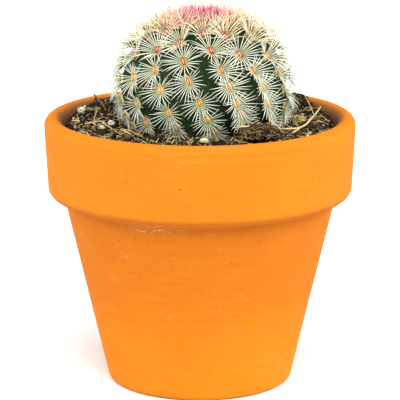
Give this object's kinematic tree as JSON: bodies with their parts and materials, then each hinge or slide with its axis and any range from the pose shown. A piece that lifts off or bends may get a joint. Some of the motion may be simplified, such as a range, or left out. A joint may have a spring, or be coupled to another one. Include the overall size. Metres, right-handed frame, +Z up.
{
  "type": "potted round cactus",
  "caption": "Round ribbed hedgehog cactus with comb-like white spines and a pink crown, planted in peat in a tapered terracotta pot with a collar and a drain hole.",
  "frame": {"origin": "centre of the pot's base, on the ground", "axes": "+Z up along the pot's axis, -Y towards the side that the picture shows"},
  "size_m": [0.107, 0.107, 0.1325],
  "materials": {
    "terracotta": "unglazed matte clay",
    "peat": "loose crumbly peat",
    "flesh": "satin green skin",
    "spine": "ivory bristle",
    "crown": "pink bristle",
    "perlite": "chalky",
    "grit": "chalky",
    "bark": "rough",
    "straw": "dry"
  },
  "bodies": {
    "root": {"terracotta_pot": "terracotta", "potting_soil": "peat", "cactus_stem": "flesh", "crown_spines": "crown", "pale_grit": "grit", "spine_row_01": "spine", "spine_row_02": "spine", "spine_row_03": "spine", "spine_row_04": "spine", "spine_row_05": "spine", "spine_row_06": "spine", "spine_row_07": "spine", "spine_row_08": "spine", "spine_row_09": "spine", "spine_row_10": "spine", "spine_row_11": "spine", "spine_row_12": "spine", "spine_row_13": "spine", "spine_row_14": "spine", "spine_row_15": "spine", "straw_forked": "straw", "straw_1": "straw", "straw_2": "straw", "straw_3": "straw", "straw_4": "straw", "straw_5": "straw", "straw_6": "straw", "straw_7": "straw", "perlite_granule_1": "perlite", "perlite_granule_2": "perlite", "perlite_granule_3": "perlite", "bark_chip_1": "bark", "bark_chip_2": "bark", "bark_chip_3": "bark", "peat_clod_front": "peat", "peat_clod_back": "peat"}
  },
  "joints": []
}
